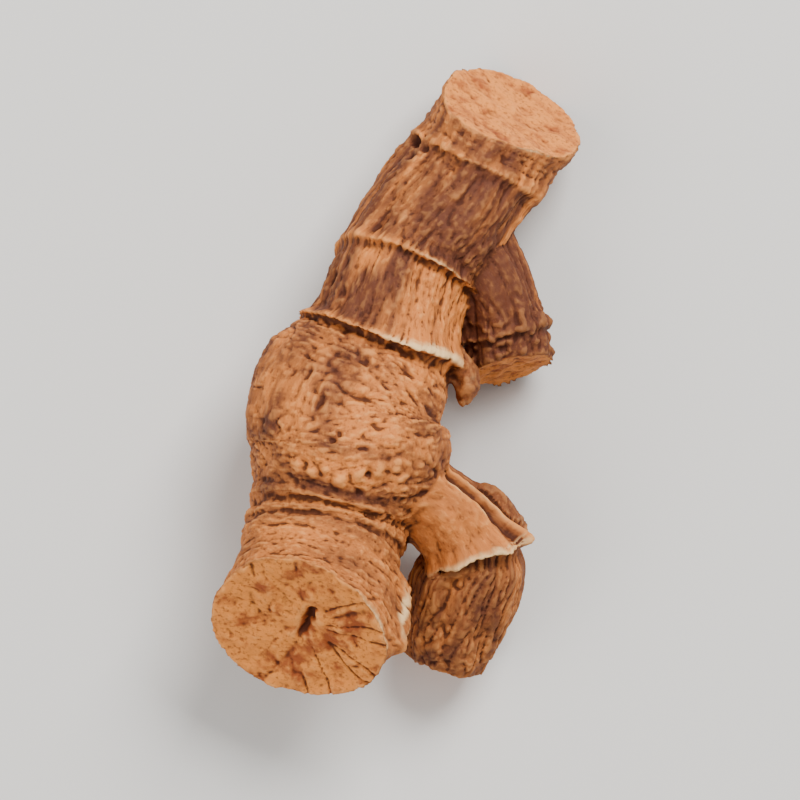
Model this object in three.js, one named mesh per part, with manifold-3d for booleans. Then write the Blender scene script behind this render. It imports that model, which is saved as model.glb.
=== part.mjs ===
// One dried piece of lesser galangal rhizome, cut at both ends and lying on a table.
// A finger of rhizome runs down from a narrow flared upper end, past two leaf scars, to a swollen knob, a
// wrinkled neck and a lower cut end that looks up. A short side branch, a smaller upper branch, three buds
// and two root stubs grow from it, and it is all one solid.
// Millimetres, +Z up, +Y towards the upper end. The origin is below the middle of the piece, on the table.
import * as THREE from "three";
import { mergeVertices } from "three/addons/utils/BufferGeometryUtils.js";
import Module from "manifold-3d";

const wasm = await Module();
wasm.setup();

// Each station is [x, y, z, radius]: a point of the limb's centreline and its half thickness there.
const FINGER = {
  stations: [
    [-6.0, -14.7, 10.8, 5.5],
    [-4.9, -11.4, 8.8, 4.9],
    [-4.1, -8.2, 7.6, 5.1],
    [-3.2, -4.4, 7.2, 6.2],
    [-2.9, -0.9, 7.0, 5.9],
    [-0.9, 3.1, 6.3, 4.65],
    [0.8, 8.2, 5.5, 4.45],
    [4.1, 12.6, 5.0, 4.3],
    [6.1, 15.7, 4.8, 4.25],
    [7.2, 17.1, 4.7, 4.6],
  ],
  startCut: [-0.3, -0.62, 0.72],
  endCut: [0.47, 0.78, 0.42],
  around: 56,
};
const SIDE_BRANCH = {
  stations: [
    [-2.4, -5.4, 7.0, 2.6],
    [0.9, -6.3, 7.2, 2.6],
    [3.2, -7.9, 6.4, 2.8],
    [4.7, -10.2, 5.5, 3.0],
    [4.1, -12.5, 4.5, 3.35],
    [3.1, -15.3, 3.0, 3.1],
    [2.7, -16.8, 2.4, 2.7],
  ],
  endCut: [-0.3, -0.9, -0.3],
  around: 30,
};
const UPPER_BRANCH = {
  stations: [
    [3.2, 10.6, 4.9, 2.6],
    [5.6, 7.0, 4.3, 2.7],
    [6.6, 4.0, 3.8, 2.6],
    [6.9, 1.1, 3.4, 2.6],
  ],
  endCut: [0.25, -0.93, 0.25],
  around: 26,
};
// Buds and root stubs end in a blunt point.
const BUDS = [
  [[4.2, -6.9, 5.6, 1.2], [5.7, -6.9, 5.5, 1.0], [6.6, -7.9, 5.3, 0.95], [7.7, -9.5, 5.0, 0.8]],
  [[2.6, 2.6, 6.2, 1.1], [4.2, 0.7, 6.6, 0.95], [4.0, -1.2, 6.9, 0.5]],
  [[-3.2, -9.4, 4.0, 1.5], [-5.0, -9.0, 2.2, 1.2], [-6.1, -9.2, 1.6, 0.8]],
];
const ROOT_STUBS = [
  [[-3.6, 0.0, 3.4, 1.8], [-5.4, 0.8, 1.2, 1.4], [-6.0, 1.2, -0.4, 1.0]],
  [[-2.6, -7.2, 3.6, 1.8], [-3.1, -8.0, 1.2, 1.3], [-3.4, -8.5, -0.4, 0.9]],
];

// Leaf scars ring a limb. at and wide are along it, and high stands out from it: fully at the angle peak, and
// by the share even at right angles to that. The ring leans along the limb by side on its level side and by
// top on its upper side. A negative wide turns the steep side of the lip towards the limb's end.
const FINGER_SCARS = [
  { at: 4.9, wide: 0.42, high: 0.14, peak: 2.4, even: 0.65, side: -0.2, top: 0.2 },
  { at: 6.6, wide: 0.42, high: 0.14, peak: 0.9, even: 0.65, side: 0.3, top: 0.1 },
  { at: 8.3, wide: 0.45, high: 0.18, peak: 1.9, even: 0.65, side: 0.2, top: -0.2 },
  { at: 19.2, wide: 0.5, high: 0.75, peak: 1.2, even: 0.65, side: 0.5, top: 0.0 },
  { at: 24.15, wide: 0.4, high: 0.45, peak: 1.1, even: 0.65, side: 0.2, top: 0.75 },
  { at: 32.0, wide: 0.7, high: 0.3, peak: 1.5, even: 0.65, side: 0.4, top: 0.1 },
];
const SIDE_SCARS = [
  { at: 3.8, wide: -0.4, high: 0.22, peak: 1.4, even: 0.65, side: -0.5, top: 0.0 },
  { at: 8.4, wide: -0.4, high: 0.95, peak: 2.4, even: 0.65, side: -0.45, top: -0.1 },
];
const UPPER_SCARS = [
  { at: 8.0, wide: -0.4, high: 0.3, peak: 1.6, even: 0.65, side: 0.0, top: 0.3 },
];

// Points along a limb by its length, with the directions to its side (level) and to its top.
function limbLine(stations) {
  const centre = new THREE.CatmullRomCurve3(
    stations.map(([x, y, z]) => new THREE.Vector3(x, y, z)), false, "catmullrom",
  );
  const thickness = new THREE.CatmullRomCurve3(
    stations.map((station) => new THREE.Vector3(station[3], 0, 0)), false, "catmullrom",
  );
  const length = centre.getLength();
  const up = new THREE.Vector3(0, 0, 1);
  const at = (along) => {
    const inside = THREE.MathUtils.clamp(along, 0, length);
    const t = centre.getUtoTmapping(inside / length);
    const tangent = centre.getTangent(t);
    const side = new THREE.Vector3().crossVectors(tangent, up).normalize();
    const top = new THREE.Vector3().crossVectors(side, tangent);
    const point = centre.getPoint(t).addScaledVector(tangent, along - inside);
    return { point, tangent, side, top, radius: thickness.getPoint(t).x };
  };
  return { at, length };
}

const RING_REACH = 2.2; // a leaning ring draws the skin along over this length

// How far the skin at an angle is drawn along the limb by the leaning rings near it.
function lean(along, angle, scars) {
  let shift = 0;
  for (const scar of scars) {
    const near = Math.exp(-(((along - scar.at) / RING_REACH) ** 2));
    const wave = 0.12 * Math.sin(3 * angle + 2.3 * scar.at);
    shift += near * (scar.side * Math.cos(angle) + scar.top * Math.sin(angle) + wave);
  }
  return shift;
}

// Height of the leaf scars: a lip with a steep lower side, a groove at its foot, and a long upper side.
function scarHeight(along, angle, scars) {
  let height = 0;
  for (const scar of scars) {
    const past = (along - scar.at) / scar.wide;
    const profile = past < 0 ? Math.exp(-3 * past * past) : Math.exp(-0.9 * past * past);
    const groove = 0.35 * Math.exp(-(((past + 1.6) / 0.7) ** 2));
    const strength = Math.max(0, scar.even + (1 - scar.even) * Math.cos(angle - scar.peak));
    height += scar.high * strength * (profile - groove);
  }
  return height;
}

// Slow swells of the dried skin, as a share of the radius.
function swell(along, angle) {
  return (
    0.035 * Math.sin(2 * angle + 0.42 * along + 0.6) +
    0.025 * Math.sin(3 * angle - 0.57 * along + 2.1) +
    0.02 * Math.sin(angle - 0.83 * along + 4.0)
  );
}

// Lengthwise folds of the shrunken skin, from 0 in a crease to 1 on a crest.
function fold(along, angle, count, twist) {
  return Math.abs(Math.sin(0.5 * (count * angle + twist * Math.sin(0.55 * along + count))));
}

// Warts stand on the knob in an even spiral, of mixed sizes.
const WARTS = { count: 70, from: 9.7, to: 18.2, turn: 2.39996, radius: 0.75, high: 0.2 };

function wartHeight(along, angle, radius) {
  let height = 0;
  for (let i = 0; i < WARTS.count; i += 1) {
    const wartAlong = WARTS.from + ((WARTS.to - WARTS.from) * (i + 0.5)) / WARTS.count;
    const size = 1 + 0.45 * Math.sin(5.1 * i);
    let turn = (angle - i * WARTS.turn) % (2 * Math.PI);
    if (turn > Math.PI) turn -= 2 * Math.PI;
    if (turn < -Math.PI) turn += 2 * Math.PI;
    const away = Math.hypot(along - wartAlong, turn * radius) / (WARTS.radius * size);
    height = Math.max(height, WARTS.high * size * Math.exp(-away * away));
  }
  return height;
}

function between(value, low, high) {
  return THREE.MathUtils.smoothstep(value, low, high);
}

// The finger's neck is shrunken into creases and its shaft into the deepest folds, which die out towards the
// smoother flare at its upper end. All are in millimetres.
const NECK = { from: 3, to: 10.5, crease: 0.06, pitch: 1.4 };
const SHAFT = { from: 17.6, to: 21.6, flare: 30.5, end: 33.5 };
const FOLDS = { deep: 0.45, shaftDeep: 0.45, middle: 0.2 };

// A torn edge of skin stands along the neck on the side of the side branch.
const FRILL = { angle: 0.05, spread: 0.17, high: 1.0, from: 0.2, to: 5.6, fade: 1 };

function frillHeight(along, angle) {
  const aside = Math.atan2(Math.sin(angle - FRILL.angle), Math.cos(angle - FRILL.angle)) / FRILL.spread;
  const started = between(along, FRILL.from, FRILL.from + FRILL.fade);
  const ended = between(along, FRILL.to - FRILL.fade, FRILL.to);
  return FRILL.high * Math.exp(-aside * aside) * started * (1 - ended);
}

// Half thickness of the finger at a place on its skin.
function fingerRadius(along, angle, radius) {
  const shaft = between(along, SHAFT.from, SHAFT.to) * (1 - between(along, SHAFT.flare, SHAFT.end));
  const neck = between(along, NECK.from, NECK.from + 1.5) * (1 - between(along, NECK.to - 1.5, NECK.to));
  const folds = 0.16 * fold(along, angle, 9, 1.6) + 0.2 * fold(along, angle, 14, 1.1);
  const creases = NECK.crease * Math.cos((2 * Math.PI * along) / NECK.pitch);
  return (
    radius * (1 + swell(along, angle)) +
    (FOLDS.deep + FOLDS.shaftDeep * shaft) * (folds - FOLDS.middle) +
    neck * creases +
    frillHeight(along, angle) +
    scarHeight(along, angle, FINGER_SCARS) +
    wartHeight(along, angle, radius)
  );
}

const BRANCH_FOLD = 0.2;

function branchRadius(scars) {
  return (along, angle, radius) =>
    radius * (1 + 1.2 * swell(along + 5, angle)) +
    BRANCH_FOLD * (fold(along, angle, 8, 1.3) - 0.5) +
    scarHeight(along, angle, scars);
}

// A cut face dries into a shallow dish with a standing rim. share is 0 in its middle and 1 at its rim.
function dish(share, angle, radius) {
  const hollow = 0.07 * radius * (1 - share * share);
  const ripple = 0.35 * Math.sin(5 * angle + 7 * share) * share * (1 - share);
  return hollow + ripple;
}

// The lower face has also split: a short crack starts in its middle and runs to one side.
const CRACK = { angle: 4.65, reach: 0.62, wide: 0.3, deep: 0.9 };

function crackedDish(share, angle, radius) {
  const across = Math.sin(angle - CRACK.angle) * share * radius;
  const ahead = Math.cos(angle - CRACK.angle) > -0.2 ? share : 0.5 + share;
  const open = 1 - between(ahead, 0.5 * CRACK.reach, CRACK.reach);
  return dish(share, angle, radius) + CRACK.deep * open * Math.exp(-((across / CRACK.wide) ** 2));
}

// A closed skin through rows of points, each once round, with a pole point at either end.
function closedSkin(startPole, rows, endPole) {
  const around = rows[0].length;
  const points = [startPole, ...rows.flat(), endPole];
  const last = points.length - 1;
  const index = [];
  for (let j = 0; j < around; j += 1) {
    const next = (j + 1) % around;
    index.push(0, 1 + j, 1 + next);
    for (let i = 0; i + 1 < rows.length; i += 1) {
      const a = 1 + i * around + j;
      const b = 1 + i * around + next;
      index.push(a, b + around, b, a, a + around, b + around);
    }
    const rim = 1 + (rows.length - 1) * around;
    index.push(last, rim + next, rim + j);
  }
  const geometry = new THREE.BufferGeometry().setFromPoints(points);
  geometry.setIndex(index);
  return geometry;
}

function anglesOf(around) {
  return Array.from({ length: around }, (unused, j) => (2 * Math.PI * j) / around);
}

// Rows close together over each leaf scar and evenly spaced between.
function rowPlaces(length, scars, step) {
  const places = [0, length];
  for (const scar of scars) {
    for (const offset of [-1.5, -0.55, 0, 0.75, 2]) {
      places.push(scar.at + offset * scar.wide);
    }
  }
  const count = Math.round(length / step);
  for (let i = 1; i < count; i += 1) {
    const place = (i * length) / count;
    const crowded = places.some((other) => Math.abs(other - place) < 0.6 * step);
    if (!crowded) places.push(place);
  }
  return places.filter((p) => p >= 0 && p <= length).sort((a, b) => a - b);
}

// How far past the centreline's end a point on the skin goes to meet a slanted cut.
function slant(end, normal, offset) {
  return -normal.dot(offset) / normal.dot(end.tangent);
}

const CUT_REACH = 6; // the slant of a cut dies out over this length of limb
const FACE_SHARES = [0.9, 0.68, 0.44, 0.2];

// A limb with a cut face, or a hidden flat root, at either end.
function limb({ stations, startCut, endCut, around }, scars, step, radiusAt, startDish = dish) {
  const line = limbLine(stations);
  const start = line.at(0);
  const end = line.at(line.length);
  const startNormal = startCut ? new THREE.Vector3(...startCut).normalize() : start.tangent.clone().negate();
  const endNormal = new THREE.Vector3(...endCut).normalize();
  const across = ({ side, top }, angle, size) =>
    side.clone().multiplyScalar(size * Math.cos(angle)).addScaledVector(top, size * Math.sin(angle));
  const skinPoint = (along, angle) => {
    const toStart = Math.max(0, 1 - along / CUT_REACH) ** 2;
    const toEnd = Math.max(0, 1 - (line.length - along) / CUT_REACH) ** 2;
    const place = along + lean(along, angle, scars) * (1 - toStart) * (1 - toEnd) +
      toStart * slant(start, startNormal, across(start, angle, radiusAt(0, angle, start.radius))) +
      toEnd * slant(end, endNormal, across(end, angle, radiusAt(line.length, angle, end.radius)));
    const here = line.at(place);
    return here.point.add(across(here, angle, radiusAt(along, angle, here.radius)));
  };
  const angles = anglesOf(around);
  const places = rowPlaces(line.length, scars, step);
  const skin = places.map((along) => angles.map((angle) => skinPoint(along, angle)));
  const face = (rim, { point, radius }, normal, depth) => (share) =>
    rim.map((edge, j) =>
      point.clone().lerp(edge, share).addScaledVector(normal, -depth(share, angles[j], radius)));
  const startFace = face(skin[0], start, startNormal, startDish);
  const endFace = face(skin[skin.length - 1], end, endNormal, dish);
  const shares = [...FACE_SHARES].reverse();
  const rows = [...shares.map(startFace), ...skin, ...FACE_SHARES.map(endFace)];
  return closedSkin(startFace(0)[0], rows, endFace(0)[0]);
}

// A bud or root stub: a short limb that rounds off to a blunt point.
const BUD_AROUND = 12;
const BUD_SHARES = [0, 0.25, 0.5, 0.7, 0.84, 0.94, 0.985];

function bud(stations) {
  const line = limbLine(stations);
  const rows = BUD_SHARES.map((share) => {
    const here = line.at(share * line.length);
    const blunt = Math.sqrt(1 - Math.max(0, (share - 0.7) / 0.3) ** 2);
    return anglesOf(BUD_AROUND).map((angle) => {
      const size = here.radius * blunt * (1 + 0.12 * Math.sin(3 * angle + 4 * share));
      return here.point.clone()
        .addScaledVector(here.side, size * Math.cos(angle))
        .addScaledVector(here.top, size * Math.sin(angle));
    });
  });
  return closedSkin(line.at(0).point, rows, line.at(line.length).point);
}

function solidOf(geometry) {
  return new wasm.Manifold(new wasm.Mesh({
    numProp: 3,
    vertProperties: geometry.getAttribute("position").array,
    triVerts: new Uint32Array(geometry.index.array),
  }));
}

const TABLE = { wide: 80, thick: 10 };

// The table is a block whose top is at height 0. It trims the low points to small flat spots.
function tableTop() {
  const block = new THREE.BoxGeometry(TABLE.wide, TABLE.wide, TABLE.thick).translate(0, 0, -TABLE.thick / 2);
  block.deleteAttribute("normal");
  block.deleteAttribute("uv");
  return solidOf(mergeVertices(block));
}

function geometryOf(solid) {
  const mesh = solid.getMesh();
  const geometry = new THREE.BufferGeometry();
  geometry.setAttribute("position", new THREE.BufferAttribute(mesh.vertProperties, 3));
  geometry.setIndex(new THREE.BufferAttribute(mesh.triVerts, 1));
  geometry.computeVertexNormals();
  return geometry;
}

const grown = [
  limb(FINGER, FINGER_SCARS, 0.85, fingerRadius, crackedDish),
  limb(SIDE_BRANCH, SIDE_SCARS, 1.0, branchRadius(SIDE_SCARS)),
  limb(UPPER_BRANCH, UPPER_SCARS, 1.0, branchRadius(UPPER_SCARS)),
  ...[...BUDS, ...ROOT_STUBS].map(bud),
].map(solidOf);
const rhizome = grown.reduce((whole, piece) => whole.add(piece)).subtract(tableTop());

const driedRhizome = new THREE.MeshStandardMaterial({ color: 0xb0703f, roughness: 0.85, metalness: 0 });
const mesh = new THREE.Mesh(geometryOf(rhizome), driedRhizome);
mesh.name = "rhizome";
// The middle of the piece, as the stations measure it, moves over the origin.
mesh.position.set(-0.02, -0.5, 0);

const part = new THREE.Group();
part.add(mesh);

export default part;
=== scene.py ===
from collections import namedtuple

import bpy
import numpy as np
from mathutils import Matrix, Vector, kdtree, noise


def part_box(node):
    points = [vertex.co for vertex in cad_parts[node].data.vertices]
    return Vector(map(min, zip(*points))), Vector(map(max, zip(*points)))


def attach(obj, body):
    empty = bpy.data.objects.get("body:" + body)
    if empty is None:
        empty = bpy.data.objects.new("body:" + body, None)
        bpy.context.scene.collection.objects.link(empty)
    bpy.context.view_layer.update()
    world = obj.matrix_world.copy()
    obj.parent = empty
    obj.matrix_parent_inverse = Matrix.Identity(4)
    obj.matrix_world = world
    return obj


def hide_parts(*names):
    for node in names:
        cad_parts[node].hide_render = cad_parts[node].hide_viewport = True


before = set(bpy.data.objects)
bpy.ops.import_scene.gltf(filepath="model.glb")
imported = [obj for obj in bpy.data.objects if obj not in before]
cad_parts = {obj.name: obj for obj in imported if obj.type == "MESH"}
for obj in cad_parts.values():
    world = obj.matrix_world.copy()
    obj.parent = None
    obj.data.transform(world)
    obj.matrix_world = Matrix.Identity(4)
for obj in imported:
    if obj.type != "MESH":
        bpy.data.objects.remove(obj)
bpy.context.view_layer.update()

# The rhizome: one dried piece of lesser galangal that grew as a single body. A finger with ring scars carries
# a swollen knob, a side branch, an upper branch, buds and root stubs, and a knife has cut its limbs off. The
# skin is laid out limb by limb in millimetres, melted into one surface, and then creased and pitted.

# Each station is [x, y, z, half thickness] on a limb's centreline.
FINGER = [
    [-6.0, -14.7, 10.8, 5.5],
    [-4.9, -11.4, 8.8, 4.9],
    [-4.1, -8.2, 7.6, 5.1],
    [-3.2, -4.4, 7.2, 6.2],
    [-2.9, -0.9, 7.0, 5.9],
    [-0.9, 3.1, 6.3, 4.65],
    [0.8, 8.2, 5.5, 4.45],
    [4.1, 12.6, 5.0, 4.3],
    [6.1, 15.7, 4.8, 4.25],
    [7.2, 17.1, 4.7, 4.6],
]
SIDE_BRANCH = [
    [-2.4, -5.4, 7.0, 2.6],
    [0.9, -6.3, 7.2, 2.6],
    [3.2, -7.9, 6.4, 2.8],
    [4.7, -10.2, 5.5, 3.0],
    [4.1, -12.5, 4.5, 3.35],
    [3.1, -15.3, 3.0, 3.1],
    [2.7, -16.8, 2.4, 2.7],
]
UPPER_BRANCH = [
    [3.2, 10.6, 4.9, 2.6],
    [5.6, 7.0, 4.3, 2.7],
    [6.6, 4.0, 3.8, 2.6],
    [6.9, 1.1, 3.4, 2.6],
]
BUDS = [
    [[4.2, -6.9, 5.6, 1.2], [5.7, -6.9, 5.5, 1.0], [6.6, -7.9, 5.3, 0.95], [7.7, -9.5, 5.0, 0.8]],
    [[2.6, 2.6, 6.2, 1.1], [4.2, 0.7, 6.6, 0.95], [4.0, -1.2, 6.9, 0.5]],
    [[-3.2, -9.4, 4.0, 1.5], [-5.0, -9.0, 2.2, 1.2], [-6.1, -9.2, 1.6, 0.8]],
    [[-3.6, 0.0, 3.4, 1.8], [-5.4, 0.8, 1.2, 1.4], [-6.0, 1.2, -0.4, 1.0]],
    [[-2.6, -7.2, 3.6, 1.8], [-3.1, -8.0, 1.2, 1.3], [-3.4, -8.5, -0.4, 0.9]],
]

# Leaf scars ring a limb at a place along it. Each stands high above the skin: fully at the angle peak, and by
# the share even at right angles to that. The ring leans along the limb by side and top. Its lip is pale round
# the angle middle, over a spread. Its steep side faces the limb's start, or its end where wide is negative.
Scar = namedtuple("Scar", "at wide high peak even side top pale middle spread")
FINGER_SCARS = [
    Scar(4.9, 0.42, 0.14, 2.4, 0.65, -0.2, 0.2, pale=0.15, middle=1.8, spread=0.9),
    Scar(6.6, 0.42, 0.14, 0.9, 0.65, 0.3, 0.1, pale=0.1, middle=1.0, spread=0.8),
    Scar(8.3, 0.45, 0.18, 1.9, 0.65, 0.2, -0.2, pale=0.1, middle=2.0, spread=0.7),
    Scar(19.2, 0.5, 0.75, 1.2, 0.65, 0.5, 0.0, pale=1.0, middle=0.9, spread=0.8),
    Scar(24.15, 0.4, 0.45, 1.1, 0.65, 0.2, 0.75, pale=0.5, middle=1.1, spread=0.5),
    Scar(32.0, 0.7, 0.3, 1.5, 0.65, 0.4, 0.1, pale=0.15, middle=1.2, spread=0.8),
]
SIDE_SCARS = [
    Scar(3.8, -0.4, 0.22, 1.4, 0.65, -0.5, 0.0, pale=0.1, middle=1.6, spread=0.6),
    Scar(8.4, -0.4, 0.95, 2.4, 0.65, -0.45, -0.1, pale=0.68, middle=1.6, spread=1.5),
]
UPPER_SCARS = [Scar(8.0, -0.4, 0.3, 1.6, 0.65, 0.0, 0.3, pale=0.1, middle=1.6, spread=1.0)]

# Single warts and pits that stand out on the finger: place along it, angle round it, half width and height.
KNOBBLES = [
    [10.2, 2.06, 0.4, 0.24],
    [10.0, 1.88, 0.36, 0.3],
    [10.3, 1.74, 0.34, 0.22],
    [9.9, 1.57, 0.4, 0.3],
    [10.4, 1.4, 0.36, 0.28],
    [10.9, 1.22, 0.38, 0.24],
    [11.3, 1.05, 0.36, 0.26],
    [21.9, 2.67, 0.4, -0.35],
    [22.6, 2.4, 0.3, -0.2],
    [21.0, 2.3, 0.3, -0.2],
    [31.2, 2.78, 0.5, -0.4],
    [30.9, 2.44, 0.35, -0.3],
    [29.7, 2.62, 0.4, -0.3],
    [12.4, 1.7, 0.28, -0.35],
    [12.8, 1.64, 0.22, -0.3],
    [14.3, 1.87, 0.26, -0.3],
    [15.2, 2.12, 0.24, -0.25],
    [16.9, 1.62, 0.3, -0.22],
    [9.4, 1.34, 0.3, -0.25],
]

# Patches where the finger is darker, or lighter where how dark is negative: place along it, angle round it,
# half length, half width, and how dark.
TONE_PATCHES = [
    [15.0, 1.8, 1.6, 0.9, 0.35],
    [16.6, 1.75, 0.7, 1.7, 0.35],
    [16.2, 2.4, 1.0, 1.0, 0.35],
    [9.2, 1.4, 0.45, 2.6, 0.8],
    [8.3, 2.5, 1.0, 1.4, 0.5],
    [12.8, 2.5, 1.3, 1.0, 0.4],
    [13.8, 1.3, 1.7, 1.6, -0.6],
    [10.8, 1.7, 0.7, 2.2, -0.35],
    [17.6, 1.1, 0.8, 1.6, -0.35],
    [3.4, 2.0, 1.4, 2.0, -0.5],
    [23.2, 2.05, 0.8, 0.9, -1.1],
    [21.0, 1.9, 0.9, 0.9, 0.3],
    [33.6, 1.4, 1.6, 2.5, 0.3],
]

GRAIN = 0.13  # spacing of the points on the skin
UP = np.array([0.0, 0.0, 1.0])


def unit(vectors):
    """The vectors, each made one long."""
    return vectors / np.linalg.norm(vectors, axis=-1, keepdims=True)


def between(value, low, high):
    """0 below low, 1 above high, and a smooth step between them."""
    share = np.clip((value - low) / (high - low), 0, 1)
    return share * share * (3 - 2 * share)


def stretch(value, rise, full, fall, end):
    """1 on a stretch of values, with a smooth step up to it and another down from it."""
    return between(value, rise, full) * (1 - between(value, fall, end))


def hill(away, spread):
    """1 at no distance away, and less and less beyond the spread."""
    return np.exp(-((away / spread) ** 2))


def around_from(angle, middle):
    """The angle's distance round a limb from a middle, from -pi to pi."""
    return (angle - middle + np.pi) % (2 * np.pi) - np.pi


def smooth_curve(stations, count):
    """Evenly timed places on a Catmull-Rom curve through the stations."""
    stations = np.array(stations)
    before = 2 * stations[0] - stations[1]
    after = 2 * stations[-1] - stations[-2]
    padded = np.vstack([before, stations, after])
    time = np.linspace(0, len(stations) - 1, count)
    span = np.minimum(time.astype(int), len(stations) - 2)
    t = (time - span)[:, None]
    a, b, c, d = (padded[span + i] for i in range(4))
    return 0.5 * (2 * b + (c - a) * t + (2 * a - 5 * b + 4 * c - d) * t**2 + (3 * b - a - 3 * c + d) * t**3)


# What a limb is like at a place along it: its point, its three directions and its half thickness.
Place = namedtuple("Place", "point heading side top radius")
CURVE_POINTS = 2000


def limb_line(stations):
    """The limb's length, and a function that gives what it is like at places along it."""
    curve = smooth_curve(stations, CURVE_POINTS)
    reach = np.append(0, np.cumsum(np.linalg.norm(np.diff(curve[:, :3], axis=0), axis=1)))
    headings = unit(np.gradient(curve[:, :3], axis=0))

    def at(along):
        inside = np.clip(along, 0, reach[-1])
        x, y, z, radius = (np.interp(inside, reach, column) for column in curve.T)
        heading = unit(np.stack([np.interp(inside, reach, column) for column in headings.T], -1))
        side = unit(np.cross(heading, UP))
        top = np.cross(side, heading)
        point = np.stack([x, y, z], -1) + heading * (along - inside)[..., None]
        return Place(point, heading, side, top, radius)

    return reach[-1], at


def ring(place, angle, size):
    """The step of a size from a limb's centreline towards an angle round it."""
    return (place.side * np.cos(angle)[..., None] + place.top * np.sin(angle)[..., None]) * size[..., None]


LEAN_REACH = 2.2  # a leaning ring draws the skin with it this far along the limb


def lean(along, angle, scars):
    """How far the skin is drawn along the limb by the leaning rings near it."""
    shift = np.zeros(angle.shape)
    for scar in scars:
        wave = 0.12 * np.sin(3 * angle + 2.3 * scar.at)
        slope = scar.side * np.cos(angle) + scar.top * np.sin(angle) + wave
        shift += hill(along - scar.at, LEAN_REACH) * slope
    return shift


def noise_at(places, seed):
    """Smooth noise from about -1 to 1 at points whose numbers are counted in lumps."""
    flat = places.reshape(-1, 3) + 7.3 * seed
    return np.array([noise.noise(place) for place in flat.tolist()]).reshape(places.shape[:-1])


def scar_height(along, angle, scars):
    """Height of the leaf scars: a torn lip with a steep side, a groove at its foot, and a long back."""
    height = np.zeros(angle.shape)
    for scar in scars:
        past = (along - scar.at) / scar.wide
        profile = np.where(past < 0, np.exp(-3 * past**2), np.exp(-0.9 * past**2))
        groove = 0.35 * hill(past + 1.6, 0.7)
        turns = np.stack([5 * np.cos(angle), 5 * np.sin(angle), along / 2], -1)
        torn = 1 + 0.4 * noise_at(turns, scar.at)
        strength = np.maximum(0, scar.even + (1 - scar.even) * np.cos(angle - scar.peak))
        height += scar.high * torn * strength * (profile - groove)
    return height


# No limb is quite round. Each swelling: its share of the radius, how many there are round the limb, how far
# they turn for each millimetre along it, and where they start.
SWELLINGS = [(0.035, 2, 0.42, 0.6), (0.025, 3, -0.57, 2.1), (0.02, 1, -0.83, 4.0)]


def swell(along, angle):
    """How much thicker the limb is than its stations say, as a share of its radius."""
    share = np.zeros(angle.shape)
    for high, number, twist, start in SWELLINGS:
        share += high * np.sin(number * angle + twist * along + start)
    return share


def fold(along, angle, number, sway):
    """0 in the grooves that run along a limb, a number of them round it, and 1 midway between two."""
    return np.abs(np.sin(0.5 * (number * angle + sway * np.sin(0.55 * along + number))))


WARTS = 70
WARTS_START = 9.7
WARTS_LENGTH = 8.5
WART_HEIGHT = 0.14
WART_WIDTH = 0.75
GOLDEN_TURN = 2.39996


def wart_height(along, angle, radius):
    """Warts stand on the knob in an even spiral, of mixed sizes."""
    height = np.zeros(angle.shape)
    for i in range(WARTS):
        place = WARTS_START + WARTS_LENGTH * (i + 0.5) / WARTS
        size = 1 + 0.45 * np.sin(5.1 * i)
        away = np.hypot(along - place, around_from(angle, i * GOLDEN_TURN) * radius)
        height = np.maximum(height, WART_HEIGHT * size * hill(away, WART_WIDTH * size))
    return height


FRILL_ANGLE = 0.05
FRILL_HEIGHT = 1.0
FRILL_SPREAD = 0.15


def frill(along, angle, spread):
    """1 on the torn edge of skin that stands along the neck, on the side of the side branch."""
    return hill(around_from(angle, FRILL_ANGLE), spread) * stretch(along, 0.2, 1.2, 4.6, 5.6)


FOLD_LEVEL = 0.2  # the height of the folds that leaves a limb as thick as its stations say
NECK_RING_HEIGHT = 0.06
NECK_RING_GAP = 1.4


def finger_radius(along, angle, radius):
    """The finger's half thickness, with its folds, neck rings, torn edge, scars and warts."""
    shaft = stretch(along, 17.6, 21.6, 30.5, 33.5)
    neck = stretch(along, 3, 4.5, 9, 10.5)
    folds = 0.16 * fold(along, angle, 9, 1.6) + 0.2 * fold(along, angle, 14, 1.1)
    size = radius * (1 + swell(along, angle)) + (0.45 + 0.45 * shaft) * (folds - FOLD_LEVEL)
    size += NECK_RING_HEIGHT * neck * np.cos(2 * np.pi * along / NECK_RING_GAP)
    size += FRILL_HEIGHT * frill(along, angle, FRILL_SPREAD)
    return size + scar_height(along, angle, FINGER_SCARS) + wart_height(along, angle, radius)


def branch_radius(scars):
    """A function that gives a branch's half thickness, with its folds and its scars."""

    def radius_at(along, angle, radius):
        folds = 0.2 * fold(along, angle, 8, 1.3) - 0.1
        return radius * (1 + 1.2 * swell(along + 5, angle)) + folds + scar_height(along, angle, scars)

    return radius_at


def closed_skin(rows, start_pole, end_pole):
    """Points and faces of a skin through rows of points, each once round, with a pole at either end."""
    count, around = rows.shape[:2]
    row, turn = np.meshgrid(np.arange(count - 1), np.arange(around), indexing="ij")
    corner = 1 + row * around + turn
    beside = 1 + row * around + (turn + 1) % around
    quads = np.stack([corner, corner + around, beside + around, beside], -1).reshape(-1, 4).tolist()
    last = 1 + count * around
    rim = last - around
    for j in range(around):
        following = (j + 1) % around
        quads.append([0, 1 + j, 1 + following])
        quads.append([last, rim + following, rim + j])
    return np.vstack([[start_pole], rows.reshape(-1, 3), [end_pole]]), quads


CUT_REACH = 6  # the slant of a cut dies out over this length of limb
LIP_LEAN = 0.6  # how far a scar's lip leans over its steep side, for its height
DISH = 0.07  # the depth of a cut face, for its half width
SKIN, START_FACE, END_FACE = 0, 1, 2

# A limb has its points, its faces, the points' layout, and its cut faces, each as a middle and a normal. The
# layout says of each point which part it is on, its place along the limb and angle round it, the limb's half
# thickness there, and the directions in which the place and the angle grow.
Limb = namedtuple("Limb", "points faces layout cuts")
Layout = namedtuple("Layout", "part along angle radius heading around")


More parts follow.
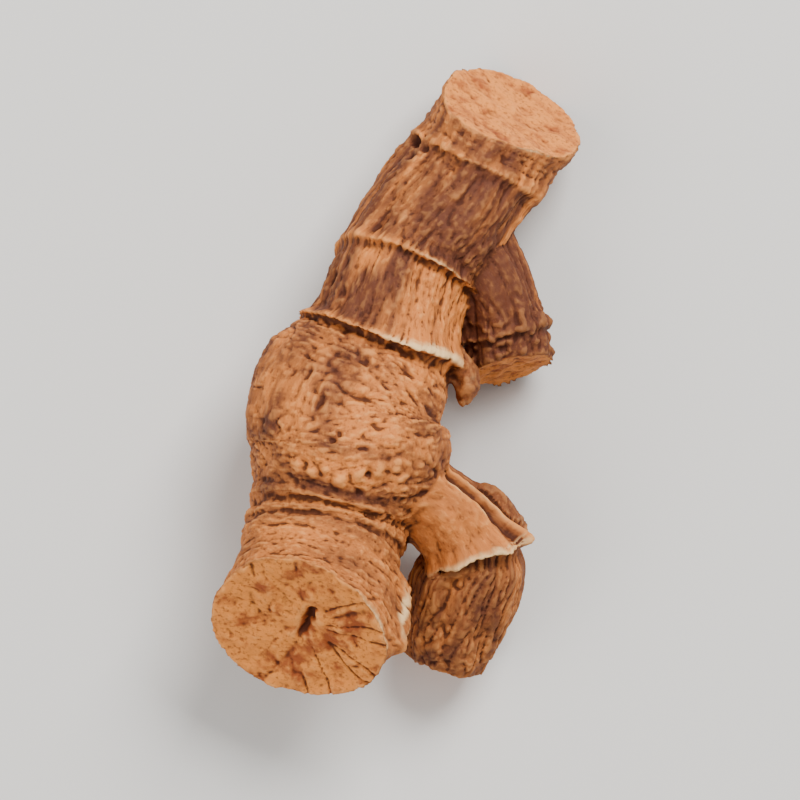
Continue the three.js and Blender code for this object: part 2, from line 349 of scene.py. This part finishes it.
def limb(stations, scars, radius_at, start_cut, end_cut):
    """A limb with a cut at either end, given the directions that the cuts face, or None for a square cut."""
    length, at = limb_line(stations)
    girth = 2 * np.pi * max(station[3] for station in stations)
    angles = np.linspace(0, 2 * np.pi, round(girth / GRAIN), endpoint=False)
    along, angle = np.meshgrid(np.linspace(0, length, round(length / GRAIN)), angles, indexing="ij")
    start, end = at(np.zeros(len(angles))), at(np.full(len(angles), length))
    start_normal = -start.heading[0] if start_cut is None else unit(np.array(start_cut))
    end_normal = unit(np.array(end_cut))

    def slant(place, normal, at_length):
        """How far a cut at a length of the limb moves the end of its skin along it, at each angle."""
        size = radius_at(np.full(len(angles), at_length), angles, place.radius)
        return -(ring(place, angles, size) @ normal) / (place.heading @ normal)

    to_start = np.maximum(0, 1 - along / CUT_REACH) ** 2
    to_end = np.maximum(0, 1 - (length - along) / CUT_REACH) ** 2
    moved = along + lean(along, angle, scars) * (1 - to_start) * (1 - to_end)
    moved += to_start * slant(start, start_normal, 0) + to_end * slant(end, end_normal, length)
    place = at(moved)
    lips = np.maximum(scar_height(along, angle, scars), 0)
    steep = -np.sign(np.interp(along, [scar.at for scar in scars], [scar.wide for scar in scars]))
    skin = place.point + ring(place, angle, radius_at(along, angle, place.radius))
    skin += place.heading * (LIP_LEAN * steep * lips)[..., None]

    shares = np.arange(1, 0, -GRAIN / place.radius.max())[1:]
    share, face_angle = np.meshgrid(shares, angles, indexing="ij")

    def cut_face(rim, place, normal):
        """The points and the pole of a cut face, which dries into a shallow dish under a standing rim."""
        middle = place.point[0]
        dish = DISH * place.radius[0]
        ripple = 0.35 * np.sin(5 * face_angle + 7 * share) * share * (1 - share)
        depth = dish * (1 - share**2) + ripple
        flat = middle + (rim - middle) * share[..., None]
        return flat - normal * depth[..., None], middle - normal * dish

    start_rows, start_pole = cut_face(skin[0], start, start_normal)
    end_rows, end_pole = cut_face(skin[-1], end, end_normal)
    points, faces = closed_skin(np.concatenate([start_rows[::-1], skin, end_rows]), start_pole, end_pole)
    blank = np.zeros(share.shape)
    flat = np.zeros((*share.shape, 3))
    tangent = ring(place, angle + np.pi / 2, np.ones(angle.shape))
    columns = Layout(
        part=[blank + START_FACE, np.full(angle.shape, SKIN), blank + END_FACE],
        along=[blank, along, blank + length],
        angle=[face_angle, angle, face_angle],
        radius=[blank + 1, place.radius, blank + 1],
        heading=[flat, place.heading, flat],
        around=[flat, tangent, flat],
    )
    layout = []
    for parts in columns:
        joined = np.concatenate(parts)
        rows = joined.reshape(-1, *joined.shape[2:])
        layout.append(np.concatenate([rows[:1], rows, rows[-1:]]))
    cuts = [(start.point[0], start_normal), (end.point[0], end_normal)]
    return Limb(points, faces, Layout(*layout), cuts)


BUD_POINTS = 60  # round a bud
BLUNT_END = 0.3  # the share of a bud's length that rounds off


def bud(stations):
    """A bud or root stub: a short limb that rounds off to a blunt point."""
    length, at = limb_line(stations)
    shares = np.append(np.linspace(0, 0.9, 24), [0.93, 0.96, 0.98, 0.99])
    angles = np.linspace(0, 2 * np.pi, BUD_POINTS, endpoint=False)
    share, angle = np.meshgrid(shares, angles, indexing="ij")
    place = at(share * length)
    blunt = np.sqrt(1 - (np.maximum(0, share - (1 - BLUNT_END)) / BLUNT_END) ** 2)
    size = place.radius * blunt * (1 + 0.12 * np.sin(3 * angle + 4 * share))
    ends = at(np.array([0, length])).point
    points, faces = closed_skin(place.point + ring(place, angle, size), *ends)
    blank = np.zeros(len(points))
    layout = Layout(blank, blank, blank, blank + 1, np.zeros(points.shape), np.zeros(points.shape))
    return Limb(points, faces, layout, [])


FINGER_LIMB, SIDE_LIMB, UPPER_LIMB = range(3)
limbs = [
    limb(FINGER, FINGER_SCARS, finger_radius, [-0.3, -0.62, 0.72], [0.47, 0.78, 0.42]),
    limb(SIDE_BRANCH, SIDE_SCARS, branch_radius(SIDE_SCARS), None, [-0.3, -0.9, -0.3]),
    limb(UPPER_BRANCH, UPPER_SCARS, branch_radius(UPPER_SCARS), None, [0.25, -0.93, 0.25]),
    *map(bud, BUDS),
]


def modified(mesh, kind, settings):
    """The mesh as one of Blender's modifiers leaves it."""
    source = bpy.data.objects.new("limbs", mesh)
    bpy.context.collection.objects.link(source)
    modifier = source.modifiers.new("change", kind)
    for name, value in settings.items():
        setattr(modifier, name, value)
    depsgraph = bpy.context.evaluated_depsgraph_get()
    result = bpy.data.meshes.new_from_object(source.evaluated_get(depsgraph))
    bpy.data.objects.remove(source)
    bpy.data.meshes.remove(mesh)
    return result


all_faces = []
first = 0
for item in limbs:
    all_faces += [[first + corner for corner in face] for face in item.faces]
    first += len(item.points)
all_points = np.vstack([item.points for item in limbs])
# One even skin of small quads goes round everything that the limbs enclose.
mesh = bpy.data.meshes.new("limbs")
mesh.from_pydata(all_points.tolist(), [], all_faces)
mesh = modified(mesh, "REMESH", {"mode": "VOXEL", "voxel_size": GRAIN})

total = len(mesh.vertices)
spots = np.empty(total * 3)
mesh.vertices.foreach_get("co", spots)
spots = spots.reshape(-1, 3)
edges = np.empty(len(mesh.edges) * 2, int)
mesh.edges.foreach_get("vertices", edges)
edges = edges.reshape(-1, 2)
edge_start = np.concatenate([edges[:, 0], edges[:, 1]])
edge_end = np.concatenate([edges[:, 1], edges[:, 0]])
neighbours = np.bincount(edge_start, minlength=total)[:, None]


def relaxed(values, share, rounds):
    """The values on the mesh, each drawn by a share towards its neighbours' mean, several times over."""
    for _ in range(rounds):
        sums = [np.bincount(edge_start, column[edge_end], total) for column in values.T]
        values = values + share * (np.stack(sums, -1) / neighbours - values)
    return values


def nearest(points):
    """The nearest of the points to each spot of the mesh: their numbers and distances."""
    tree = kdtree.KDTree(len(points))
    for i, point in enumerate(points.tolist()):
        tree.insert(point, i)
    tree.balance()
    found = [tree.find(spot) for spot in spots.tolist()]
    return np.array([item[1] for item in found]), np.array([item[2] for item in found])


# Where a branch or bud leaves the finger the skin is drawn into a soft hollow.
JOINT_REACH = 0.6
to_finger = nearest(limbs[FINGER_LIMB].points)[1]
to_others = nearest(all_points[len(limbs[FINGER_LIMB].points):])[1]
joint = hill(to_finger + to_others, JOINT_REACH)[:, None]
index = nearest(all_points)[0]
spots = relaxed(spots, 0.5 * joint, 12)
spots = relaxed(spots, 0.3, 1)


def normals_of(places):
    """The directions in which the skin faces at each spot, once the spots are at these places."""
    mesh.vertices.foreach_set("co", places.ravel())
    mesh.update()
    normals = np.empty(total * 3)
    mesh.vertex_normals.foreach_get("vector", normals)
    return normals.reshape(-1, 3)


# Each spot of the mesh takes its limb and its place on that limb's skin from the nearest laid-out point.
whole = Layout(*(np.concatenate(parts) for parts in zip(*(item.layout for item in limbs))))
owner = np.repeat(np.arange(len(limbs)), [len(item.points) for item in limbs])[index]
part, along, angle, radius, heading, around = (values[index] for values in whole)
step = spots - all_points[index]
along = along + (step * heading).sum(1)
angle = angle + (step * around).sum(1) / radius
height, dark, pale, cut = (np.zeros(total) for _ in range(4))
grain_place = spots.copy()


def skin_lumps(here, wide, long, seed):
    """Noise on the skin of one limb, in lumps of a width round it and a length along it."""
    size = radius[here] / wide
    places = [size * np.cos(angle[here]), size * np.sin(angle[here]), along[here] / long]
    return noise_at(np.stack(places, -1), seed)


def body_lumps(here, size, seed):
    """Noise through the whole body, in round lumps."""
    return noise_at(spots[here] / size, seed)


def crease(lumps, sharp):
    """1 along thin lines that wind between the lumps, and 0 away from them."""
    return np.exp(-((lumps / sharp) ** 2))


def nicks(x, y, number, lie, seed):
    """1 in short bent cracks scattered over a skin laid flat by x and y, most of them near an angle, lie."""
    random = np.random.default_rng(seed)
    deepest = np.zeros(len(x))
    for _ in range(number):
        step_x = x - random.uniform(x.min(), x.max())
        step_y = y - random.uniform(y.min(), y.max())
        turned = lie + random.normal(0, 0.45)
        long, wide, bend = random.uniform(0.25, 1.0), random.uniform(0.1, 0.19), random.normal(0, 0.3)
        ahead = step_x * np.cos(turned) + step_y * np.sin(turned)
        aside = step_y * np.cos(turned) - step_x * np.sin(turned) + bend * ahead**2
        deepest = np.maximum(deepest, random.uniform(0.4, 1) * hill(aside, wide) * hill(ahead, long))
    return deepest


def scar_pale(here, scars):
    """How pale the lips of the leaf scars are."""
    paleness = np.zeros(len(here))
    for scar in scars:
        lip = hill(along[here] - scar.at - 0.1 * scar.wide, 0.5 * abs(scar.wide))
        near = hill(around_from(angle[here], scar.middle), scar.spread)
        paleness = np.maximum(paleness, scar.pale * lip * near)
    return paleness


def lay_grain(here, drawn):
    """Sets the places that the fine grain of the colour is laid by, drawn out or closed up along a limb."""
    ends = np.cos(angle[here]), np.sin(angle[here])
    grain_place[here] = np.stack([radius[here] * ends[0], radius[here] * ends[1], drawn], -1)


def part_of(limb_number, part_number):
    """The numbers of the spots on a limb's skin or on one of its cut faces."""
    return np.flatnonzero((owner == limb_number) & (part == part_number))


# The finger's skin has dried on to it like thin cork. Its shaft has fine lines along it, its knob is finely
# wrinkled, and its neck is creased. Here and below relief is in millimetres, and shade runs from 0 for tan to
# 1 for dark brown.
finger = part_of(FINGER_LIMB, SKIN)
a, turn = along[finger], angle[finger]
shaft = between(a, 18.3, 19.2)
neck = 1 - between(a, 8.2, 9.6)
knob = 1 - shaft - neck
flare = between(a, 31.8, 32.8)
broken = between(skin_lumps(finger, 1.6, 1.6, 1), -0.2, 0.3)
warp = 0.35 * skin_lumps(finger, 1.1, 1.1, 2)
streaks = skin_lumps(finger, 0.35, 3.2, 11)
lines = crease(skin_lumps(finger, 0.55, 4.5, 3) + 0.3 * warp, 0.07) * broken
hairs = crease(skin_lumps(finger, 0.28, 1.8, 4), 0.14)
wrinkles = crease(skin_lumps(finger, 3.0, 0.6, 5) + 0.9 * warp, 0.1) * broken
fine_wrinkles = crease(skin_lumps(finger, 1.2, 0.34, 6) + 0.5 * warp, 0.14)
across_skin = around_from(turn, 1.5) * radius[finger]
crevices = nicks(across_skin, a, 340, 0, 12)
rings = crease(skin_lumps(finger, 4.0, 0.75, 7) + 0.6 * warp, 0.1)
fine_rings = crease(skin_lumps(finger, 1.6, 0.36, 8) + 0.5 * warp, 0.14)
relief = -(shaft - 0.9 * flare) * (0.15 * lines + 0.09 * hairs)
relief -= knob * (0.15 * wrinkles + 0.09 * fine_wrinkles + 0.2 * crevices)
relief -= neck * (0.11 * rings + 0.08 * fine_rings + 0.18 * crevices)
relief -= flare * (0.1 * rings + 0.06 * fine_rings)
relief += 0.09 * skin_lumps(finger, 0.32, 0.32, 9) + 0.1 * skin_lumps(finger, 1.0, 0.8, 10)
# Warts get a painted highlight and pits painted shade, as lighter and darker colour over them.
knobble_highlight_and_shade = np.zeros(len(finger))
for place, middle, size, high in KNOBBLES:
    away = np.hypot(a - place, around_from(turn, middle) * radius[finger]) / size
    relief += high * (hill(away, 1) - 0.25 * hill(away - 1.5, 0.5))
    knobble_highlight_and_shade += high * hill(away, 1.1)
height[finger] = relief

# The shaft's upper length is dark, most of all on its upper right side, with a painted highlight as a tan
# line along its right edge. Its middle length is dark on its left half alone.
red_zone = stretch(around_from(turn, 1.0), -1.4, -0.6, 0.35, 0.9)
middle_length = stretch(a, 19.2, 19.8, 23.6, 24.3)
upper_length = stretch(a, 23.9, 24.7, 31.2, 32.4)
left_half = between(around_from(turn, 1.25), -0.1, 0.5)
painted_edge_highlight = 1.3 * hill(around_from(turn, 0.3), 0.12) * upper_length
shade = upper_length * (0.65 + 0.4 * red_zone) + middle_length * (0.95 * left_half - 0.1)
shade += neck * (0.35 + 0.15 * np.sin(1.9 * a - 3.5)) + 0.5 * flare
# On the knob, cracks and fine wrinkles are painted darker, as shade in them.
shade += knob * (0.2 + 0.6 * skin_lumps(finger, 2.2, 1.6, 14) + 0.6 * crevices + 0.4 * fine_wrinkles)
for place, middle, long, wide, darker in TONE_PATCHES:
    shade += darker * hill(a - place, long) * hill(around_from(turn, middle) * radius[finger], wide)
shade += (0.55 * shaft + 0.15) * streaks
dark[finger] = shade - painted_edge_highlight - 1.2 * knobble_highlight_and_shade

# Bare flesh shows pale on the scars' torn lips, on the rims that the knife left, and along the neck's torn
# edge.
upper_rim = 0.75 * hill(a - 36, 0.35) * hill(turn - 0.8, 0.5)
lower_rim = 0.65 * hill(a, 0.4) * hill(turn - 0.6, 0.55)
frayed = between(skin_lumps(finger, 0.6, 0.9, 15), -0.5, 0.2) * stretch(a, 0.6, 2.6, 3.4, 5.4)
torn_edge = 0.85 * frayed * frill(a, turn - 0.1, 0.11)
pale[finger] = np.max([scar_pale(finger, FINGER_SCARS), upper_rim, torn_edge + lower_rim], 0)
# The grain of the colour lies across the neck, is even on the knob, and is drawn out along the shaft.
lay_grain(finger, np.interp(a, [0, 9.5, 18.8, 36.5], [0, 17, 27, 33]))

# The side branch has a smooth tan length, where its sheath of skin is whole, with two grooves down its outer
# side. Its first groove and its skin past the second are painted darker, as shade. The sheath ends in a torn
# pale flange, and beyond it the branch is netted and dark, partly its own brown and partly painted shade.
side = part_of(SIDE_LIMB, SKIN)
a, turn = along[side], angle[side]
lower = between(a, 8.0, 8.8)
lines = crease(skin_lumps(side, 0.6, 4.0, 21), 0.08)
fine_net = crease(skin_lumps(side, 0.5, 0.7, 22), 0.09)
ragged = skin_lumps(side, 0.6, 0.6, 24)
tan_length = between(a, 3.5, 4.5) * (1 - lower)
groove = hill(around_from(turn, 2.5) + 0.1 * ragged, 0.16) * tan_length
outer_groove = hill(around_from(turn, 3.0) + 0.15 * ragged, 0.14) * tan_length
ridge = hill(around_from(turn, 1.0), 0.18)
relief = -(0.05 + 0.13 * lower) * lines - (0.04 + 0.06 * lower) * fine_net
relief -= 0.65 * groove + 0.35 * outer_groove
relief += 0.25 * lower * ridge + 0.08 * skin_lumps(side, 0.5, 0.5, 23)
height[side] = relief
painted_far_side_shade = between(around_from(turn, 2.85), 0, 0.2) * tan_length
patched = 0.45 + 0.4 * skin_lumps(side, 1.6, 1.8, 27)
streaks = skin_lumps(side, 0.4, 2.5, 25)
# The first groove and the far side get painted shade, and the length past the flange partly painted shade.
dark[side] = 0.15 + lower * patched + 0.6 * painted_far_side_shade + 0.6 * groove + 0.35 * streaks
groove_edge = hill(around_from(turn, 2.26) + 0.12 * ragged, 0.06)
outer_edge = 0.6 * hill(around_from(turn, 2.76) + 0.1 * ragged, 0.05)
flaked = between(skin_lumps(side, 1.2, 0.9, 26), -0.2, 0.2) * tan_length
pale[side] = np.maximum(scar_pale(side, SIDE_SCARS), 0.7 * (groove_edge + outer_edge) * flaked)
lay_grain(side, 0.45 * a)

# The upper branch is dark, partly its own brown skin and partly painted shade. It is lined along its length,
# and warty near its cut end, with one light line down its outer side.
upper = part_of(UPPER_LIMB, SKIN)
a, turn = along[upper], angle[upper]
lumps = skin_lumps(upper, 0.6, 0.6, 34) + 0.3 * skin_lumps(upper, 0.3, 0.3, 35)
warts = between(a, 5.5, 8) * between(lumps, 0.1, 0.5)
lines = crease(skin_lumps(upper, 0.6, 3.5, 31), 0.09)
height[upper] = 0.08 * skin_lumps(upper, 0.4, 0.4, 33) - 0.13 * lines + 0.25 * warts
light_line = hill(around_from(turn, 2.8), 0.1) * (1 - between(a, 8, 9))
# Its darkness is partly its own brown and partly painted shade.
dark[upper] = 1.5 - 0.4 * warts - light_line + 0.3 * skin_lumps(upper, 0.35, 2.5, 36)
lay_grain(upper, 0.5 * a)

# Buds and root stubs never grew out or broke off short, and they are finely wrinkled all over, with some pale
# flaking.
small = np.flatnonzero(owner > UPPER_LIMB)
height[small] = 0.1 * body_lumps(small, 0.5, 41) - 0.1 * crease(body_lumps(small, 0.8, 42), 0.12)
dark[small] = 0.7
pale[small] = 0.2 * between(body_lumps(small, 0.9, 43), 0, 0.4)

# Cut faces are bare flesh, dried under the knife's cut: a grain of starch and fibre ends, fine rays from the
# middle, and a ring round the core, with painted shade in their cracks. The finger's lower one has split,
# with painted shade down the split, and is darker on its right and low down.
CUT_FACES = [
    (FINGER_LIMB, START_FACE),
    (FINGER_LIMB, END_FACE),
    (SIDE_LIMB, END_FACE),
    (UPPER_LIMB, END_FACE),
]
for limb_number, part_number in CUT_FACES:
    face = part_of(limb_number, part_number)
    middle, normal = limbs[limb_number].cuts[part_number - START_FACE]
    across = unit(np.cross(UP, normal))
    offset = spots[face] - middle
    x, y = offset @ across, offset @ np.cross(normal, across)
    out, bearing = np.hypot(x, y), np.arctan2(y, x)
    rays = np.stack([3.2 * np.cos(bearing), 3.2 * np.sin(bearing), out / 5], -1)
    grain = body_lumps(face, 0.3, 52)
    cracks = nicks(x, y, 30, 1.9, 53)
    fibre_rays = crease(noise_at(rays, 54), 0.07) * between(out, 0.8, 2)
    relief = 0.12 * body_lumps(face, 0.9, 51) + 0.07 * grain - 0.12 * cracks - 0.06 * fibre_rays
    rim = limbs[limb_number].layout.radius.max()
    core = hill(out - 0.58 * rim, 0.35)
    shade = 0.9 * body_lumps(face, 1.1, 55) + 0.15 * core - 0.5 * grain + 0.4 * cracks + 0.3 * fibre_rays
    if part_number == START_FACE:
        down = 0.37 - y
        aside = x - 0.3 + 0.12 * grain + 0.1 * body_lumps(face, 0.7, 57)
        split = stretch(down, -1.4, -0.9, 0.6, 1.9) * hill(aside, 0.24)
        relief -= 0.65 * split + 0.1 * fibre_rays * between(x, 0.3, 1.8)
        torn = 0.6 * body_lumps(face, 0.8, 58)
        right_darkening = hill(x - 2.4 + torn, 1.7) * hill(y - 0.8, 1.9)
        low_darkening = 0.7 * hill(x - 0.9 + torn, 1) * hill(y + 2.6, 1.6)
        # Painted shade darkens the split, and the face is darker on its right and low down.
        shade += 0.75 * (right_darkening + low_darkening) + 2.0 * split - 0.3
    else:
        relief = 0.6 * relief
        shade = 0.6 * shade - 0.15
    height[face] = relief
    dark[face] = shade
    cut[face] = 1

height, dark, pale, cut = relaxed(np.stack([height, dark, pale, cut], -1), 0.4, 1).T
spots = spots + normals_of(spots) * height[:, None]

# How far a spot lies under the level of the skin close round it, and wide round it, for a usual depth.
CREASE_DEPTH = 0.035
HOLLOW_DEPTH = 0.25
normals = normals_of(spots)
hollow = ((relaxed(spots, 0.5, 12) - spots) * normals).sum(1) / CREASE_DEPTH
broad_hollow = ((relaxed(spots, 0.5, 80) - spots) * normals).sum(1) / HOLLOW_DEPTH

# The skin is laid inside the room that the frame gives it, and what would sink into the table is pressed
# flat.
MM = 0.001
MOVE = np.array([-0.02, -0.5, 0.0])
low, high = (np.array(corner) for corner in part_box("rhizome"))
spots = (spots + MOVE) * MM
space = high - low
space[2] = high[2]
size = spots.max(0) - spots.min(0)
size[2] = spots[:, 2].max()
spots = spots * np.minimum(1, space / size)
spots[:, 2] = np.maximum(spots[:, 2], 0)
mesh.vertices.foreach_set("co", spots.ravel())
# The darkness holds the skin's own tones and the painted shade laid on it.
attributes = {
    "dark_tone_and_shade": dark,
    "pale_edge": pale,
    "cut_face": cut,
    "hollow": hollow,
    "broad_hollow": broad_hollow,
}
for name, values in attributes.items():
    mesh.attributes.new(name, "FLOAT", "POINT").data.foreach_set("value", values)
mesh.attributes.new("grain_place", "FLOAT_VECTOR", "POINT").data.foreach_set("vector", grain_place.ravel())
mesh.update()
# Where the skin is smooth it needs fewer points than in its creases, so it is thinned there, and kept inside
# its box.
MOST_TRIANGLES = 194_000
mesh = modified(mesh, "DECIMATE", {"ratio": MOST_TRIANGLES / (2 * len(mesh.polygons))})
mesh.name = "rhizome_skin"
mesh.polygons.foreach_set("use_smooth", np.ones(len(mesh.polygons), bool))
thinned = np.empty(len(mesh.vertices) * 3)
mesh.vertices.foreach_get("co", thinned)
mesh.vertices.foreach_set("co", np.clip(thinned.reshape(-1, 3), low, high).ravel())
rhizome = bpy.data.objects.new("rhizome_skin", mesh)
bpy.context.collection.objects.link(rhizome)


class Value:
    """A shader node's output, on which Python's operators add Math nodes."""

    def __init__(self, shader, socket):
        self.shader = shader
        self.socket = socket

    def maths(self, operation, first, second):
        return self.shader.node("ShaderNodeMath", {"operation": operation}, {0: first, 1: second})

    def __add__(self, other):
        return self.maths("ADD", self, other)

    def __radd__(self, other):
        return self.maths("ADD", other, self)

    def __sub__(self, other):
        return self.maths("SUBTRACT", self, other)

    def __rsub__(self, other):
        return self.maths("SUBTRACT", other, self)

    def __mul__(self, other):
        return self.maths("MULTIPLY", self, other)

    def __rmul__(self, other):
        return self.maths("MULTIPLY", other, self)


class Shader:
    """A material's node tree."""

    def __init__(self, name):
        self.material = bpy.data.materials.new(name)
        self.material.use_nodes = True
        self.nodes = self.material.node_tree.nodes
        self.links = self.material.node_tree.links
        self.nodes.clear()

    def node(self, kind, settings, sockets, output=0):
        """Adds a node with its settings, and values or links on its sockets, and gives one of its outputs."""
        node = self.nodes.new(kind)
        for name, setting in settings.items():
            setattr(node, name, setting)
        for name, value in sockets.items():
            if isinstance(value, Value):
                self.links.new(value.socket, node.inputs[name])
            else:
                node.inputs[name].default_value = value
        return Value(self, node.outputs[output]) if node.outputs else None

    def attribute(self, name):
        return self.node("ShaderNodeAttribute", {"attribute_name": name}, {}, "Fac")

    def mix(self, share, first, second):
        """The first colour with a share of the second over it. A Mix node's colours have numbered sockets."""
        return self.node("ShaderNodeMix", {"data_type": "RGBA"}, {0: share, 6: first, 7: second}, 2)

    def steps(self, value, low, high):
        """0 below low, 1 above high and a smooth step between."""
        settings = {"interpolation_type": "SMOOTHSTEP"}
        return self.node("ShaderNodeMapRange", settings, {"Value": value, "From Min": low, "From Max": high})

    def speckle(self, size, detail):
        """Noise from 0 to 1 with lumps of a size in millimetres of skin, about 0.5 on average."""
        place = self.node("ShaderNodeAttribute", {"attribute_name": "grain_place"}, {}, "Vector")
        sockets = {"Vector": place, "Scale": 1 / size, "Detail": detail, "Roughness": 0.6}
        return self.node("ShaderNodeTexNoise", {}, sockets)


def paint(red, green, blue):
    """A colour as a painter's 0 to 255 values, turned into the light that it reflects."""
    shares = np.array([red, green, blue]) / 255
    light = np.where(shares < 0.04045, shares / 12.92, ((shares + 0.055) / 1.055) ** 2.4)
    return (*light.tolist(), 1)


TAN_SKIN = paint(206, 120, 53)
BROWN_SKIN = paint(96, 51, 32)
GOLDEN_MOTTLE = paint(230, 140, 66)
DARK_DUST = paint(96, 44, 20)
LIGHT_DUST = paint(238, 156, 82)
GOLDEN_FLESH = paint(230, 140, 60)
BROWN_FLESH = paint(156, 76, 34)
DARK_FLESH_DUST = paint(126, 60, 26)
# Painted shade for creases and hollows, and a crest colour that is part wear and part painted highlight.
PAINTED_CREASE_SHADE = paint(62, 24, 10)
PAINTED_HOLLOW_SHADE = paint(70, 30, 14)
CREST_WEAR_AND_HIGHLIGHT = paint(242, 164, 90)
TORN_LIP = paint(246, 206, 146)
BUMP_HEIGHT = 0.00007

skin = Shader("dried_rhizome")
shade = skin.attribute("dark_tone_and_shade")
hollow = skin.attribute("hollow")
broad_hollow = skin.attribute("broad_hollow")
patches = skin.speckle(2.4, 3)
mottle = skin.speckle(0.7, 4)
dust = skin.speckle(0.24, 4)
fibres = skin.speckle(0.14, 3)

# The skin goes from tan to brown, with dark dust all over, and golden mottling and light dust that show less
# on brown. Cut faces are flesh in the same way.
tone = skin.steps(shade + 0.7 * patches + 0.5 * mottle, 0.35, 1.6)
lightness = 1 - 0.7 * tone
colour = skin.mix(tone, TAN_SKIN, BROWN_SKIN)
colour = skin.mix(0.4 * skin.steps(mottle, 0.5, 0.72) * lightness, colour, GOLDEN_MOTTLE)
colour = skin.mix(0.55 * skin.steps(dust, 0.52, 0.7), colour, DARK_DUST)
colour = skin.mix(0.4 * skin.steps(1 - dust, 0.54, 0.72) * lightness, colour, LIGHT_DUST)
flesh = skin.mix(skin.steps(mottle + 0.6 * shade, 0.3, 0.9), GOLDEN_FLESH, BROWN_FLESH)
flesh = skin.mix(0.7 * skin.steps(dust, 0.5, 0.7), flesh, DARK_FLESH_DUST)
colour = skin.mix(skin.attribute("cut_face"), colour, flesh)

# Creases and hollows are painted darker, as painted shade. Crests are lighter, partly from wear and partly as
# a painted highlight. Torn lips are pale, less so where painted shade lies in creases.
colour = skin.mix(0.8 * skin.steps(hollow, 0.2, 1.8), colour, PAINTED_CREASE_SHADE)
colour = skin.mix(0.6 * skin.steps(broad_hollow, 0.1, 1.1), colour, PAINTED_HOLLOW_SHADE)
colour = skin.mix(0.5 * skin.steps(0 - hollow, 0.2, 1.8) * lightness, colour, CREST_WEAR_AND_HIGHLIGHT)
torn = skin.attribute("pale_edge") + 0.3 * dust - 0.3 * skin.steps(hollow, 0.2, 1.5)
colour = skin.mix(0.85 * skin.steps(torn, 0.25, 0.9), colour, TORN_LIP)
roughness = 0.62 + 0.2 * mottle
grain_height = fibres + dust + 1.5 * mottle
bump_sockets = {"Strength": 0.6, "Distance": BUMP_HEIGHT, "Height": grain_height}
bump = skin.node("ShaderNodeBump", {}, bump_sockets)
surface = {
    "Base Color": colour,
    "Roughness": roughness,
    "Specular IOR Level": 0.2,
    "Normal": bump,
}
shaded = skin.node("ShaderNodeBsdfPrincipled", {}, surface)
skin.node("ShaderNodeOutputMaterial", {}, {"Surface": shaded})
rhizome.data.materials.append(skin.material)
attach(rhizome, "root")
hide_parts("rhizome")

# The floor is a plain pale sheet of matt card that the piece lies on. It reaches well past every view, so
# that no edge of it shows.
floor_mesh = bpy.data.meshes.new("floor")
REACH = 1.5
floor_corners = [(-REACH, -REACH, 0), (REACH, -REACH, 0), (REACH, REACH, 0), (-REACH, REACH, 0)]
floor_mesh.from_pydata(floor_corners, [], [(0, 1, 2, 3)])
floor = bpy.data.objects.new("floor", floor_mesh)
bpy.context.collection.objects.link(floor)
card = bpy.data.materials.new("pale_card")
card.use_nodes = True
card_sockets = card.node_tree.nodes["Principled BSDF"].inputs
card_sockets["Base Color"].default_value = paint(225, 222, 217)
card_sockets["Roughness"].default_value = 0.9
floor_mesh.materials.append(card)


# Soft studio light: a wide lamp from the upper right, a weaker one from the left, and a pale room.
def lamp(name, place, size, watts):
    light = bpy.data.lights.new(name, "AREA")
    light.size = size
    light.energy = watts
    holder = bpy.data.objects.new(name, light)
    holder.location = place
    holder.rotation_euler = (-Vector(place)).to_track_quat("-Z", "Y").to_euler()
    bpy.context.collection.objects.link(holder)


lamp("key_lamp", (0.16, 0.26, 0.34), 0.22, 3.2)
lamp("fill_lamp", (-0.3, -0.12, 0.3), 0.35, 1.2)
room = bpy.data.worlds.new("room")
room.use_nodes = True
room_sockets = room.node_tree.nodes["Background"].inputs
room_sockets["Color"].default_value = (1, 1, 1, 1)
room_sockets["Strength"].default_value = 0.45
bpy.context.scene.world = room

# The camera looks straight down through a long lens, as in the photograph. It takes in 49 mm at the height of
# the middle of the piece.
VIEW_MIDDLE = (0.00015, -0.00126, 0.007)
VIEW_WIDTH = 0.04925
FOCAL_LENGTH = 400
lens = bpy.data.cameras.new("camera")
lens.lens = FOCAL_LENGTH
camera = bpy.data.objects.new("camera", lens)
distance = VIEW_WIDTH * FOCAL_LENGTH / lens.sensor_width
camera.location = (VIEW_MIDDLE[0], VIEW_MIDDLE[1], VIEW_MIDDLE[2] + distance)
bpy.context.collection.objects.link(camera)
bpy.context.scene.camera = camera
